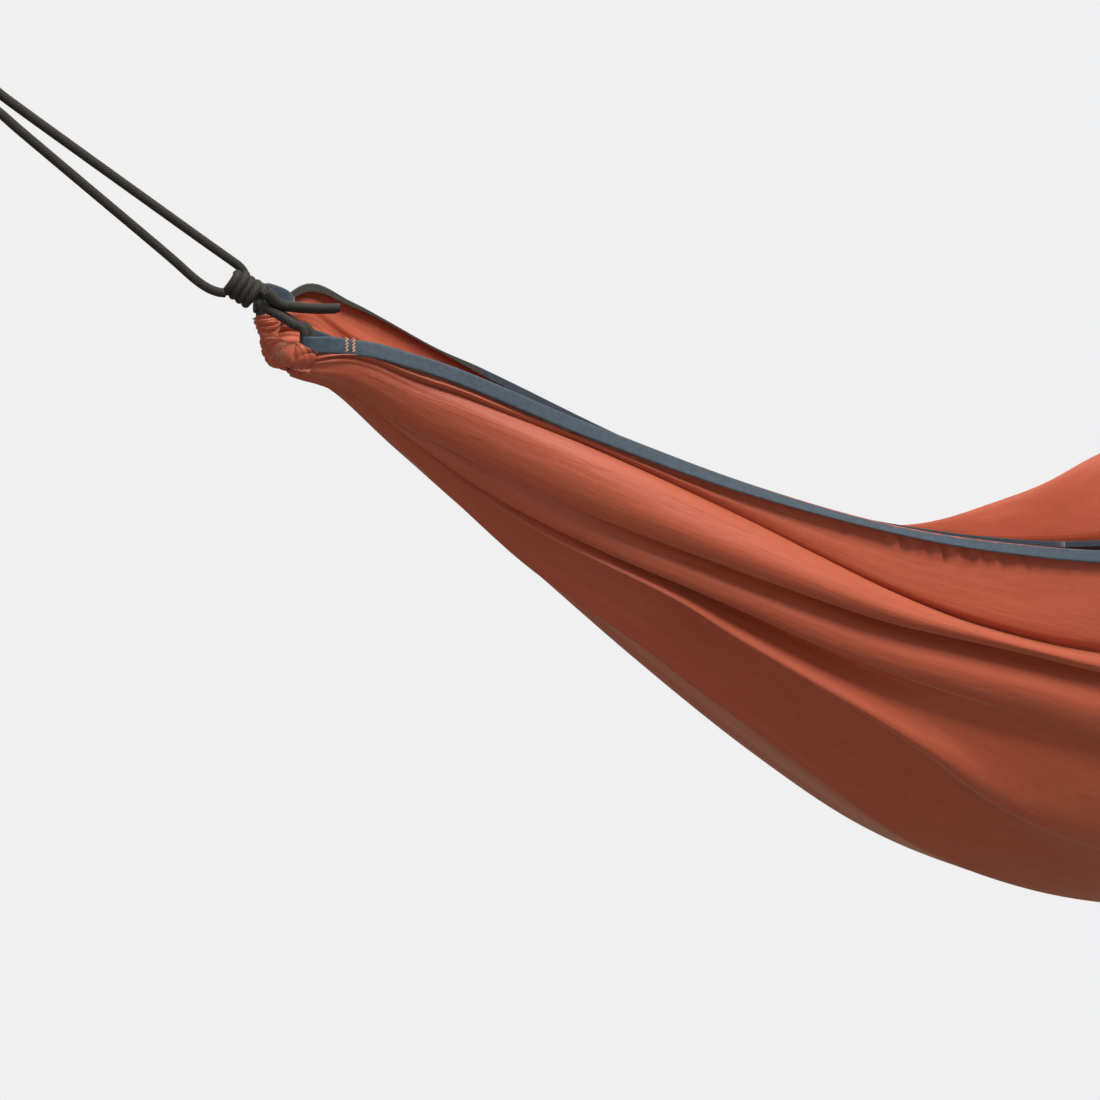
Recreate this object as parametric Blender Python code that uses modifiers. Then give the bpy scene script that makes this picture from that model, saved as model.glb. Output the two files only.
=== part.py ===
"""Camping hammock hung between two snap hooks: a gathered fabric bed, edge tapes, cinch ropes, hooks.

World axes: +X runs from the left anchor to the right anchor, -Y is the near side, +Z is up.
The origin is the inside of the left hook's upper bow, where the anchor strap bears.
"""

import math

import bmesh
import bpy
import numpy as np
from mathutils import Matrix, Vector

# overall layout
GATHER_X = 0.292
BED_HALF_LENGTH = 1.178
ANCHOR_SPAN = 2 * (GATHER_X + BED_HALF_LENGTH)
MOUTH_HALF_WIDTH = 0.250
GATHER_HALF_WIDTH = 0.020
CLEARANCE = 0.0003

# fabric, hem and tape
FABRIC_THICKNESS = 0.0030
HEM_WALL = 0.0014
TAPE_WIDTH = 0.0145
TAPE_THICKNESS = 0.0012
TAPE_STAND_OFF = 0.0018
BARTACK_LENGTH = 0.011
BARTACK_THICKNESS = 0.0008
BARTACK_INSET = 0.004

# rope
ROPE_DIAMETER = 0.008
KNOT_HALF_SIZES = (0.0165, 0.0130, 0.0150)

# snap hook
BAR_RADIUS = 0.003
HOOK_INNER_LENGTH = 0.048
HOOK_BOW_RADIUS = 0.012
TONGUE_THICKNESS = 0.0020
PIN_RADIUS = 0.0010
SPRING_MEAN_RADIUS = 0.0008
SPRING_WIRE_RADIUS = 0.0002
SPRING_TURNS = 5
SPRING_POINTS = 8

ROPE_RADIUS = ROPE_DIAMETER / 2
ROPE_SLOPE = math.radians(33.1)
ROPE_DIRECTION = Vector((math.cos(ROPE_SLOPE), 0.0, -math.sin(ROPE_SLOPE)))
ROPE_NORMAL = Vector((math.sin(ROPE_SLOPE), 0.0, math.cos(ROPE_SLOPE)))
LOOP_BEND = ROPE_DIRECTION * (HOOK_INNER_LENGTH + BAR_RADIUS)
BEND_RADIUS = (BAR_RADIUS + ROPE_RADIUS) / math.cos(math.radians(20.0)) + CLEARANCE
KNOT_CENTRE = Vector((0.2640, 0.0, -0.1712))

# the bed's edges and bottom: (distance from the gather, height) on half of a bed of the usual length;
# a longer or shorter bed stretches the stations that lie beyond the gather
USUAL_HALF_LENGTH = 1.178
GATHER_REACH = 0.10
NEAR_EDGE = ((0.012, -0.2245), (0.05, -0.211), (0.10, -0.224), (0.25, -0.283), (0.40, -0.336),
             (0.55, -0.3745), (0.70, -0.393), (0.90, -0.400), (USUAL_HALF_LENGTH, -0.403))
FAR_EDGE = ((0.012, -0.1900), (0.05, -0.163), (0.10, -0.171), (0.20, -0.203), (0.35, -0.247),
            (0.55, -0.301), (0.75, -0.345), (0.90, -0.370), (1.05, -0.385), (USUAL_HALF_LENGTH, -0.391))
BOTTOM = ((0.012, -0.2350), (0.06, -0.265), (0.12, -0.312), (0.25, -0.411), (0.40, -0.527),
          (0.55, -0.6275), (0.70, -0.709), (0.85, -0.764), (1.00, -0.799), (USUAL_HALF_LENGTH, -0.816))
HEM_DISTANCE = 0.012
HEM_LEAN = 0.011
HEM_GAP = 0.0032
HEM_NEAR_MOUTH = Vector((0.3140, -0.0265, -0.2245))
HEM_FAR_MOUTH = Vector((0.2930, 0.0255, -0.1900))
HEM_BOTTOM_Z = -0.2375
HEM_TURN = 0.0130
LOOP_ABOVE_HEM = 0.0030
LEAN_REACH = 0.12

# the far wall's lapel: slack fabric that stands above its taut tape and folds inwards
LAPEL_CENTRE_X = GATHER_X + BED_HALF_LENGTH + 0.230
LAPEL_HALF_LENGTH = 0.530
LAPEL_HEIGHT = 0.135
LAPEL_FOLD_IN = 0.030
LAPEL_SHARE = 0.14


def new_collection(name):
    """A collection linked to the scene."""
    collection = bpy.data.collections.new(name)
    bpy.context.scene.collection.children.link(collection)
    return collection


def make_material(name, colour, roughness, metallic=0.0):
    """A Principled material in one plain finish."""
    material = bpy.data.materials.new(name)
    material.use_nodes = True
    shader = material.node_tree.nodes["Principled BSDF"]
    shader.inputs["Base Color"].default_value = (*colour, 1.0)
    shader.inputs["Roughness"].default_value = roughness
    shader.inputs["Metallic"].default_value = metallic
    return material


def add_object(name, data, material, collection):
    """One named sub-part in its collection."""
    item = bpy.data.objects.new(name, data)
    item.data.materials.append(material)
    collection.objects.link(item)
    return item


def smooth_route(points, steps):
    """Points along a Catmull-Rom curve through the route's own points, steps to each span."""
    p = [Vector(q) for q in points]
    p = [p[0] * 2 - p[1]] + p + [p[-1] * 2 - p[-2]]
    route = []
    for a, b, c, d in zip(p, p[1:], p[2:], p[3:]):
        for i in range(steps):
            t = i / steps
            route.append(0.5 * (2 * b + (c - a) * t + (2 * a - 5 * b + 4 * c - d) * t**2
                                + (3 * b - a - 3 * c + d) * t**3))
    return route + [p[-2]]


def heights_along(stations, distance):
    """Height at a distance from the gather, on a smooth curve through the stations."""
    x = np.array([s[0] for s in stations])
    z = np.array([s[1] for s in stations])
    slope = np.gradient(z, x)
    slope[-1] = 0.0
    stretch = (USUAL_HALF_LENGTH - GATHER_REACH) / (BED_HALF_LENGTH - GATHER_REACH)
    d = GATHER_REACH + (distance - GATHER_REACH) * stretch if distance > GATHER_REACH else distance
    d = min(max(d, x[0]), x[-1])
    i = min(int(np.searchsorted(x, d, side="right")) - 1, len(x) - 2)
    h = x[i + 1] - x[i]
    t = (d - x[i]) / h
    return float(z[i] * (1 + 2 * t) * (1 - t)**2 + slope[i] * h * t * (1 - t)**2
                 + z[i + 1] * t * t * (3 - 2 * t) - slope[i + 1] * h * t * t * (1 - t))


def half_width(distance):
    """Half of the bed's width between its edges."""
    share = min(1.0, distance / BED_HALF_LENGTH)
    spread = math.sin(math.pi / 2 * share)**0.9
    return GATHER_HALF_WIDTH + (MOUTH_HALF_WIDTH - GATHER_HALF_WIDTH) * spread


def lapel_share(x):
    """From 0, no lapel, to 1 at the lapel's highest place."""
    reach = abs(x - LAPEL_CENTRE_X) / LAPEL_HALF_LENGTH
    return math.cos(math.pi / 2 * reach)**1.7 if reach < 1 else 0.0


def wall_point(distance, across, right_half):
    """A point of the U-shaped wall: across runs from 0 at the near edge to 1 at the far edge."""
    angle = math.pi * across
    near = heights_along(NEAR_EDGE, distance)
    far = heights_along(FAR_EDGE, distance)
    edge = near + (far - near) * (1 - math.cos(angle)) / 2
    drop = (edge - heights_along(BOTTOM, distance)) * math.sin(angle)**0.72
    lean = HEM_LEAN * math.cos(angle) * math.exp(-distance / LEAN_REACH)
    x = GATHER_X + distance + lean
    y = -half_width(distance) * math.cos(angle) * (1 + 0.10 * math.sin(angle)**2)
    return Vector((ANCHOR_SPAN - x if right_half else x, y, edge - drop))


def bed_point(distance, across, right_half):
    """A point of the fabric, with the lapel on the far side's last share."""
    start = 1 - LAPEL_SHARE
    if across <= start:
        return wall_point(distance, across / start, right_half)
    edge = wall_point(distance, 1.0, right_half)
    rise = lapel_share(edge.x)
    turn = (across - start) / LAPEL_SHARE * math.pi
    reach = LAPEL_FOLD_IN / 2 * rise + 0.002
    height = LAPEL_HEIGHT * rise + 0.003
    return edge + Vector((0.0, -reach * (1 - math.cos(turn)), height * math.sin(turn)))


def bed_stations():
    """Distances and halves of the sections from the left gather to the right one."""
    first = HEM_DISTANCE + rope_inner_radius() + HEM_WALL + FABRIC_THICKNESS / 2 + HEM_GAP
    count = 16
    steps = [first + (BED_HALF_LENGTH - first) * (i / count)**1.35 for i in range(count + 1)]
    return [(d, False) for d in steps] + [(d, True) for d in reversed(steps[:-1])]


def grid_mesh(name, rows):
    """An open mesh over rows of points."""
    bm = bmesh.new()
    verts = [[bm.verts.new(p) for p in row] for row in rows]
    for upper, lower in zip(verts, verts[1:]):
        for i in range(len(upper) - 1):
            bm.faces.new((upper[i], upper[i + 1], lower[i + 1], lower[i]))
    mesh = bpy.data.meshes.new(name)
    bm.normal_update()
    bm.to_mesh(mesh)
    bm.free()
    mesh.shade_smooth()
    return mesh


def thicken(item, thickness, offset):
    """Gives an open surface its thickness."""
    solid = item.modifiers.new("thickness", "SOLIDIFY")
    solid.thickness = thickness
    solid.offset = offset
    solid.use_even_offset = False
    return item


def make_bed_panel(material, collection):
    """The fabric bed as one shell, open at the top and at both gathered ends."""
    wall = [(i / 16) * (1 - LAPEL_SHARE) for i in range(17)]
    lapel = [1 - LAPEL_SHARE * (1 - i / 6) for i in range(1, 7)]
    rows = [[bed_point(d, v, right) for v in wall + lapel] for d, right in bed_stations()]
    item = add_object("bed_panel", grid_mesh("bed_panel", rows), material, collection)
    return thicken(item, FABRIC_THICKNESS, 0.0)


def edge_line(side, right_half, first):
    """Points along one edge at mid tape height, outside the fabric, from the gather to the middle."""
    outward = FABRIC_THICKNESS / 2 + TAPE_THICKNESS / 2 + TAPE_STAND_OFF
    points = []
    for i in range(19):
        distance = first + (BED_HALF_LENGTH - first) * (i / 18)**1.2
        p = wall_point(distance, 0.0 if side < 0 else 1.0, right_half)
        points.append(p + Vector((0.0, side * outward, -TAPE_WIDTH / 2)))
    return points


def tape_loop(side, right_half):
    """The tape's end loop round the cinch rope, from the bar-tack's inner layer to its outer one."""
    mouth = HEM_NEAR_MOUTH if side < 0 else HEM_FAR_MOUTH
    bend = ROPE_DIAMETER + 6 * CLEARANCE + TAPE_THICKNESS / 2
    middle = mouth.z + TAPE_WIDTH / 2 + LOOP_ABOVE_HEM
    centre = Vector((mouth.x - 0.0005, mouth.y, middle))
    loop = [centre + Vector((0.026, -side * bend * 0.2, 0.001)),
            centre + Vector((0.016, -side * bend * 0.85, 0.0))]
    for i in range(7):
        turn = math.pi * i / 6
        loop.append(centre + Vector((-bend * math.sin(turn), -side * bend * math.cos(turn), 0.0)))
    loop.append(centre + Vector((0.016, side * (bend + 0.003), 0.001)))
    if right_half:
        loop = [Vector((ANCHOR_SPAN - p.x, p.y, p.z)) for p in loop]
    return loop


def make_tape(name, side, material, collection):
    """One edge tape, with an end loop at each corner of the bed."""
    left = smooth_route(tape_loop(side, False), 2) + edge_line(side, False, 0.052)
    right = smooth_route(tape_loop(side, True), 2) + edge_line(side, True, 0.052)
    line = left + list(reversed(right[:-1]))
    half = Vector((0.0, 0.0, TAPE_WIDTH / 2))
    item = add_object(name, grid_mesh(name, [[p + half, p - half] for p in line]), material, collection)
    return thicken(item, TAPE_THICKNESS, 0.0)


def make_bartack(name, side, right_half, material, collection):
    """The thread patch that closes a tape's end loop."""
    line = edge_line(side, right_half, 0.052)
    along = (line[1] - line[0]).normalized()
    out = along.cross(Vector((0.0, 0.0, 1.0))).normalized()
    if out.y * side < 0:
        out = -out
    across = along.cross(out).normalized()
    away = TAPE_THICKNESS / 2 + BARTACK_THICKNESS / 2 + 2 * CLEARANCE
    place = line[0] + along * (BARTACK_LENGTH / 2 + BARTACK_INSET) + out * away
    bpy.ops.mesh.primitive_cube_add(size=1.0)
    item = bpy.context.active_object
    item.name = name
    item.data.materials.append(material)
    turn = Matrix((along, out, across)).transposed().to_4x4()
    size = Matrix.Diagonal((BARTACK_LENGTH, BARTACK_THICKNESS, TAPE_WIDTH * 0.85, 1.0))
    item.data.transform(turn @ size)
    item.location = place
    for other in item.users_collection:
        other.objects.unlink(item)
    collection.objects.link(item)
    return item


def hem_line(right_half):
    """The centre of the end channel: down from its near mouth, across below, and up to its far mouth."""
    near, far = HEM_NEAR_MOUTH, HEM_FAR_MOUTH
    turn_z = HEM_BOTTOM_Z + HEM_TURN
    places = [(near.y, near.z)]
    for i in range(6):
        angle = math.pi / 2 * i / 5
        places.append((near.y + HEM_TURN * (1 - math.cos(angle)), turn_z - HEM_TURN * math.sin(angle)))
    for i in range(6):
        angle = math.pi / 2 * i / 5
        places.append((far.y - HEM_TURN * (1 - math.sin(angle)), turn_z - HEM_TURN * math.cos(angle)))
    places += [(far.y, turn_z + (far.z - turn_z) * i / 3) for i in (1, 2, 3)]
    last = len(places) - 1
    line = [Vector((near.x + (far.x - near.x) * i / last, y, z)) for i, (y, z) in enumerate(places)]
    return mirrored(line[1:], right_half)


def rope_inner_radius():
    """Radius of the channel's bore: two ropes side by side."""
    return ROPE_DIAMETER + 6 * CLEARANCE


def ring_frames(line):
    """For each point of the hem's line, two directions across it; both mouths face straight up."""
    frames = []
    side = Vector((1.0, 0.0, 0.0))
    ends = {0: Vector((0.0, 0.0, -1.0)), len(line) - 1: Vector((0.0, 0.0, 1.0))}
    for i, p in enumerate(line):
        ahead = ends[i] if i in ends else (line[i + 1] - line[i - 1]).normalized()
        u = (side - ahead * side.dot(ahead)).normalized()
        frames.append((p, u, ahead.cross(u)))
    return frames


def make_hem(name, right_half, material, collection):
    """The hem channel at one end, scrunched on the cinch rope, with its bore open."""
    radius = rope_inner_radius()
    rows = []
    for p, u, v in ring_frames(hem_line(right_half)):
        turns = [2 * math.pi * i / 14 for i in range(15)]
        rows.append([p + (u * math.cos(t) + v * math.sin(t)) * radius for t in turns])
    mesh = grid_mesh(name, rows)
    bm = bmesh.new()
    bm.from_mesh(mesh)
    bmesh.ops.remove_doubles(bm, verts=bm.verts, dist=0.00001)
    bmesh.ops.recalc_face_normals(bm, faces=bm.faces)
    bm.to_mesh(mesh)
    bm.free()
    item = add_object(name, mesh, material, collection)
    return thicken(item, HEM_WALL, 1.0)


def rope_tube(name, points, radius, material, collection, resolution=2):
    """A rope, rod or wire as a round tube with filled caps."""
    curve = bpy.data.curves.new(name, "CURVE")
    curve.dimensions = "3D"
    spline = curve.splines.new("POLY")
    spline.points.add(len(points) - 1)
    for target, p in zip(spline.points, points):
        target.co = (*p, 1.0)
    curve.bevel_depth = radius
    curve.bevel_resolution = resolution
    curve.use_fill_caps = True
    return add_object(name, curve, material, collection)


def mirrored(points, right_half):
    """The same route at the right end."""
    if not right_half:
        return [Vector(p) for p in points]
    return [Vector((ANCHOR_SPAN - p[0], p[1], p[2])) for p in points]


def hang_loop_route():
    """The hang loop, from the knot's top up round the hook's lower bow and back to the knot."""
    upper = [(0.2592, 0.0, -0.1524), (0.2529, 0.0, -0.1483), (0.2280, 0.0, -0.1335), (0.1880, 0.0, -0.1093),
             (0.1450, 0.0, -0.0833), (0.1000, 0.0, -0.0560), (0.0740, 0.0, -0.0401), (0.0580, 0.0, -0.0300)]
    lower = [(0.0560, 0.0, -0.0441), (0.0720, 0.0, -0.0563), (0.0970, 0.0, -0.0748), (0.1350, 0.0, -0.1028),
             (0.1700, 0.0, -0.1285), (0.2000, 0.0, -0.1508), (0.2180, 0.0, -0.1650), (0.2300, 0.0, -0.1725),
             (0.2400, 0.0, -0.1758), (0.2466, 0.0, -0.1762)]
    bend = []
    for i in range(7):
        turn = math.radians(90 + 180 * i / 6)
        out = ROPE_DIRECTION * math.cos(turn) + ROPE_NORMAL * math.sin(turn)
        bend.append(LOOP_BEND + out * BEND_RADIUS)
    return upper + [tuple(p) for p in bend] + lower


def over_loop(mouth, toward):
    """Points from above a hem mouth, out over the rim of the tape's loop, towards the knot."""
    rim = LOOP_ABOVE_HEM + TAPE_WIDTH
    steps = [(0.0, rim / 2), (0.0, rim - 0.0022), (0.0018, rim + 0.0046), (0.0048, rim + 0.0090),
             (0.0100, rim + 0.0106)]
    return [tuple(mouth + toward * s + Vector((0.0, 0.0, h))) for s, h in steps]


def cinch_route():
    """The doubled rope from the knot to the near corner, through the hem, and back to the knot."""
    near, far = hem_line(False)[0], hem_line(False)[-1]
    down = [(0.2780, 0.0010, -0.1850), (0.2880, -0.0070, -0.1920), (0.2970, -0.0140, -0.1968)]
    down += reversed(over_loop(near, Vector((-0.84, 0.54, 0.0))))
    hem = [tuple(p) for p in hem_line(False)]
    up = over_loop(far, Vector((-0.61, -0.79, 0.0))) + [(0.2800, 0.0110, -0.1572), (0.2760, 0.0075, -0.1590)]
    return down + hem + up


def side_by_side(points, side):
    """One of two ropes lying beside each other along a line, turning with it from near to far."""
    near, middle, far = Vector((0.75, 0.66, 0.0)), Vector((1.0, 0.0, 0.0)), Vector((0.79, -0.61, 0.0))
    shift = side * (ROPE_RADIUS + CLEARANCE)
    last = len(points) - 1
    moved = []
    for i, p in enumerate(points):
        share = 2 * i / last
        across = near.lerp(middle, share) if share < 1 else middle.lerp(far, share - 1)
        ahead = (points[min(i + 1, last)] - points[max(i - 1, 0)]).normalized()
        moved.append(p + (across - ahead * across.dot(ahead)).normalized() * shift)
    return moved


def tail_route(side):
    """One cut end of the rope, from the knot out over the gather."""
    start = [(0.2785, -0.0150, -0.1745), (0.2825, -0.0058, -0.1758)][side]
    apart = (1 - side) * (ROPE_DIAMETER + 2 * CLEARANCE)
    rest = [(0.2910, -0.0060, -0.1822), (0.3068, -0.0085, -0.1836), (0.3261, -0.0115, -0.1829),
            (0.3431, -0.0135, -0.1808)]
    return [start] + [(x, y - apart, z) for x, y, z in rest]


def make_knot(name, right_half, material, collection):
    """The knot that ties the doubled rope round the standing part, as its outer shape."""
    bpy.ops.mesh.primitive_uv_sphere_add(segments=20, ring_count=12, radius=1.0)
    item = bpy.context.active_object
    item.name = name
    item.data.materials.append(material)
    item.data.transform(Matrix.Diagonal((*KNOT_HALF_SIZES, 1.0)))
    item.location = mirrored([KNOT_CENTRE], right_half)[0]
    item.data.shade_smooth()
    for other in item.users_collection:
        other.objects.unlink(item)
    collection.objects.link(item)
    return item


def make_ropes(end, right_half, material, collection):
    """All the rope pieces of one end."""
    def tube(name, route, steps):
        line = mirrored(smooth_route(route, steps), right_half)
        return rope_tube(name, line, ROPE_RADIUS, material, collection)

    tube(end + "_hang_loop", hang_loop_route(), 2)
    line = smooth_route(cinch_route(), 2)
    for place, label in enumerate(("front", "rear")):
        strand = mirrored(side_by_side(line, 2 * place - 1), right_half)
        rope_tube(f"{end}_cinch_rope_{label}", strand, ROPE_RADIUS, material, collection)
        tube(f"{end}_tail_{label}", tail_route(place), 3)
    make_knot(end + "_knot", right_half, material, collection)


def hook_place(right_half):
    """The matrix that takes the hook's own axes (along the rope, across, up) into the world."""
    along = Vector((-ROPE_DIRECTION.x if right_half else ROPE_DIRECTION.x, 0.0, ROPE_DIRECTION.z))
    across = Vector((0.0, 1.0, 0.0))
    matrix = Matrix((along, across, along.cross(across))).transposed().to_4x4()
    matrix.translation = Vector((ANCHOR_SPAN if right_half else 0.0, 0.0, 0.0))
    return matrix


# places along the hook, from the anchor end, and the gate's own places
UPPER_BOW_A = HOOK_BOW_RADIUS - BAR_RADIUS
LOWER_BOW_A = HOOK_INNER_LENGTH + BAR_RADIUS - HOOK_BOW_RADIUS
HINGE_SHOULDER_A = LOWER_BOW_A - 0.0005
NOSE_SHOULDER_A = UPPER_BOW_A + 0.0005
PIN_A = HINGE_SHOULDER_A - 1.5 * BAR_RADIUS
GATE_LOW_A = PIN_A + 0.0022
GATE_TOP_A = NOSE_SHOULDER_A + 0.0010
GATE_LENGTH = GATE_LOW_A - GATE_TOP_A
SLOT_DEPTH = 0.0054
NOSE_TONGUE = 0.0050
TONGUE_END_RADIUS = 0.0024
PIN_HOLE_RADIUS = PIN_RADIUS + CLEARANCE
BORE_RADIUS = SPRING_MEAN_RADIUS + SPRING_WIRE_RADIUS + CLEARANCE
BORE_LENGTH = 0.0098


def bar_line():
    """The hook's bar in its own plane: from the nose over the upper bow to the hinge shoulder."""
    line = [(NOSE_SHOULDER_A, HOOK_BOW_RADIUS, 0.0)]
    for i in range(13):
        turn = math.pi * i / 12
        line.append((UPPER_BOW_A - HOOK_BOW_RADIUS * math.sin(turn), HOOK_BOW_RADIUS * math.cos(turn), 0.0))
    for i in range(13):
        turn = math.pi * i / 12
        line.append((LOWER_BOW_A + HOOK_BOW_RADIUS * math.sin(turn), -HOOK_BOW_RADIUS * math.cos(turn), 0.0))
    line.append((HINGE_SHOULDER_A, HOOK_BOW_RADIUS, 0.0))
    return line


def mesh_from_curve(item):
    """The curve's tube as a welded mesh object with the same name."""
    graph = bpy.context.evaluated_depsgraph_get()
    mesh = bpy.data.meshes.new_from_object(item.evaluated_get(graph))
    bm = bmesh.new()
    bm.from_mesh(mesh)
    bmesh.ops.remove_doubles(bm, verts=bm.verts, dist=0.00001)
    bm.to_mesh(mesh)
    bm.free()
    name, material = item.name, item.data.materials[0]
    collection, matrix = item.users_collection[0], item.matrix_world.copy()
    bpy.data.objects.remove(item)
    made = bpy.data.objects.new(name, mesh)
    made.matrix_world = matrix
    if not mesh.materials:
        mesh.materials.append(material)
    collection.objects.link(made)
    return made


def add_cutter(name, collection, place, lows=None, highs=None, cylinder=None):
    """A hidden helper for a Boolean: a box between two corners, or a cylinder (start, end, radius)."""
    bm = bmesh.new()
    if cylinder is None:
        bmesh.ops.create_cube(bm, size=1.0)
        size = Vector(highs) - Vector(lows)
        bmesh.ops.transform(bm, matrix=Matrix.Diagonal((*size, 1.0)), verts=bm.verts)
        bmesh.ops.translate(bm, vec=(Vector(lows) + Vector(highs)) / 2, verts=bm.verts)
    else:
        start, end, radius = Vector(cylinder[0]), Vector(cylinder[1]), cylinder[2]
        length = (end - start).length
        bmesh.ops.create_cone(bm, cap_ends=True, segments=20, radius1=radius, radius2=radius, depth=length)
        turn = (end - start).to_track_quat("Z", "Y").to_matrix().to_4x4()
        bmesh.ops.transform(bm, matrix=Matrix.Translation((start + end) / 2) @ turn, verts=bm.verts)
    mesh = bpy.data.meshes.new(name)
    bm.to_mesh(mesh)
    bm.free()
    item = bpy.data.objects.new(name, mesh)
    item.matrix_world = place
    item.hide_render = True
    item.display_type = "WIRE"
    collection.objects.link(item)
    return item


def combine(item, cutter, operation):
    """Joins the cutter to the item or cuts it away."""
    boolean = item.modifiers.new(operation.lower(), "BOOLEAN")
    boolean.operation = operation
    boolean.object = cutter


def make_hook(name, right_half, material, collection, cutters):
    """The bent steel bar, with a flat tongue at each end: one for the pin, one for the gate to close on."""
    place = hook_place(right_half)
    item = mesh_from_curve(rope_tube(name, bar_line(), BAR_RADIUS, material, collection, 4))
    item.matrix_world = place
    half, b, overlap = TONGUE_THICKNESS / 2, HOOK_BOW_RADIUS, 0.0012
    hinge = add_cutter(name + "_hinge_tongue", cutters, place, (PIN_A, b - TONGUE_END_RADIUS, -half),
                       (HINGE_SHOULDER_A + overlap, b + TONGUE_END_RADIUS, half))
    rounding = add_cutter(name + "_tongue_end", cutters, place,
                          cylinder=((PIN_A, b, -half), (PIN_A, b, half), TONGUE_END_RADIUS))
    nose = add_cutter(name + "_nose_tongue", cutters, place,
                      (NOSE_SHOULDER_A - overlap, b - TONGUE_END_RADIUS, -half),
                      (NOSE_SHOULDER_A + NOSE_TONGUE, b + TONGUE_END_RADIUS, half))
    hole = add_cutter(name + "_pin_hole", cutters, place,
                      cylinder=((PIN_A, b, -2 * BAR_RADIUS), (PIN_A, b, 2 * BAR_RADIUS), PIN_HOLE_RADIUS))
    for part in (hinge, rounding, nose):
        combine(item, part, "UNION")
    combine(item, hole, "DIFFERENCE")
    return item


def make_gate(name, right_half, material, collection, cutters):
    """The gate: a round bar slotted at both ends over the tongues, drilled for its pin and spring."""
    place = hook_place(right_half)
    b, wide, half = HOOK_BOW_RADIUS, 2 * BAR_RADIUS, TONGUE_THICKNESS / 2 + CLEARANCE
    pivot = place @ Matrix.Translation((PIN_A, b, 0.0))
    back = Matrix.Translation((-PIN_A, -b, 0.0))
    bm = bmesh.new()
    bmesh.ops.create_cone(bm, cap_ends=True, segments=24,
                          radius1=BAR_RADIUS, radius2=BAR_RADIUS, depth=GATE_LENGTH)
    centre = Vector(((GATE_LOW_A + GATE_TOP_A) / 2, b, 0.0))
    turn = Matrix.Rotation(math.pi / 2, 4, "Y")
    bmesh.ops.transform(bm, matrix=back @ Matrix.Translation(centre) @ turn, verts=bm.verts)
    mesh = bpy.data.meshes.new(name)
    bm.to_mesh(mesh)
    bm.free()
    mesh.shade_smooth()
    mesh.set_sharp_from_angle(angle=math.radians(40))
    item = add_object(name, mesh, material, collection)
    item.matrix_world = pivot
    low_slot = add_cutter(name + "_hinge_slot", cutters, place, (GATE_LOW_A - SLOT_DEPTH, b - wide, -half),
                          (GATE_LOW_A + 0.001, b + wide, half))
    top_slot = add_cutter(name + "_nose_slot", cutters, place, (GATE_TOP_A - 0.001, b - wide, -half),
                          (GATE_TOP_A + SLOT_DEPTH, b + wide, half))
    hole = add_cutter(name + "_pin_hole", cutters, place,
                      cylinder=((PIN_A, b, -wide), (PIN_A, b, wide), PIN_HOLE_RADIUS))
    slot_end = GATE_LOW_A - SLOT_DEPTH
    bore = add_cutter(name + "_spring_bore", cutters, place,
                      cylinder=((slot_end - BORE_LENGTH, b, 0.0), (slot_end + 0.001, b, 0.0), BORE_RADIUS))
    for part in (low_slot, top_slot, hole, bore):
        combine(item, part, "DIFFERENCE")
    return item


def make_pin(name, right_half, material, collection):
    """The gate's rivet, a turned pin with a head at each side."""
    inner = BAR_RADIUS + CLEARANCE
    head, thick = 0.0019, 0.0006
    profile = [(0.0, inner + thick), (head, inner + thick), (head, inner), (PIN_RADIUS, inner),
               (PIN_RADIUS, -inner), (head, -inner), (head, -inner - thick), (0.0, -inner - thick)]
    mesh = bpy.data.meshes.new(name)
    edges = [(i, i + 1) for i in range(len(profile) - 1)]
    mesh.from_pydata([(r, 0.0, h) for r, h in profile], edges, [])
    item = add_object(name, mesh, material, collection)
    item.matrix_world = hook_place(right_half) @ Matrix.Translation((PIN_A, HOOK_BOW_RADIUS, 0.0))
    turning = item.modifiers.new("turning", "SCREW")
    turning.steps = 20
    turning.render_steps = 20
    turning.use_merge_vertices = True
    turning.merge_threshold = 0.00005
    return item


def make_spring(name, right_half, material, collection):
    """The gate's coil spring, in its bore between the blind end and the hinge tongue."""
    low = GATE_LOW_A - SLOT_DEPTH + 0.0003
    length = BORE_LENGTH - 2 * CLEARANCE - 2 * SPRING_WIRE_RADIUS
    points = []
    steps = SPRING_POINTS * SPRING_TURNS
    for i in range(steps + 1):
        turn = 2 * math.pi * i / SPRING_POINTS
        points.append((low - length * i / steps, HOOK_BOW_RADIUS + SPRING_MEAN_RADIUS * math.cos(turn),
                       SPRING_MEAN_RADIUS * math.sin(turn)))
    item = rope_tube(name, points, SPRING_WIRE_RADIUS, material, collection, 2)
    item.matrix_world = hook_place(right_half)
    return item


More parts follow.
